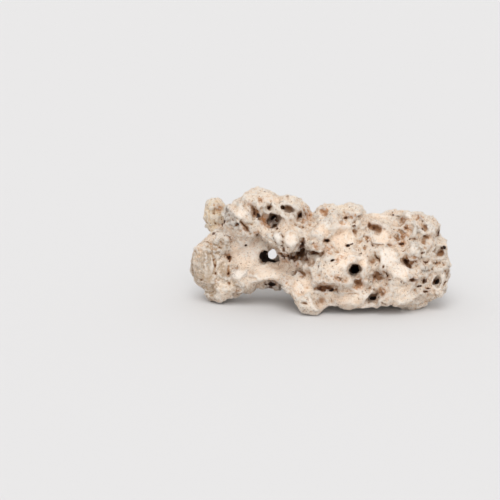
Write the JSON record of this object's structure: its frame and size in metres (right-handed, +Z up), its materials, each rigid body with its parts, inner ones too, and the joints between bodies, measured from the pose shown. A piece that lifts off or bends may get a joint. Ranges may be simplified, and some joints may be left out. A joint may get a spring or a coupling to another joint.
{
  "type": "holey rock",
  "caption": "Lump of pale limestone eaten through by water, with a tunnel and an arch, for use as a shelter and ornament in a tank or terrarium.",
  "frame": {"origin": "on the ground, under the middle of the stone's box", "axes": "+X along the stone to its thick knobbly end, +Y to the back, +Z up; the tunnel shows from the front, -Y"},
  "size_m": [0.2818, 0.113, 0.1286],
  "materials": {
    "limestone": "dry, chalky and matt, stained brown in the hollows"
  },
  "bodies": {
    "root": {"rock": "limestone"}
  },
  "joints": []
}
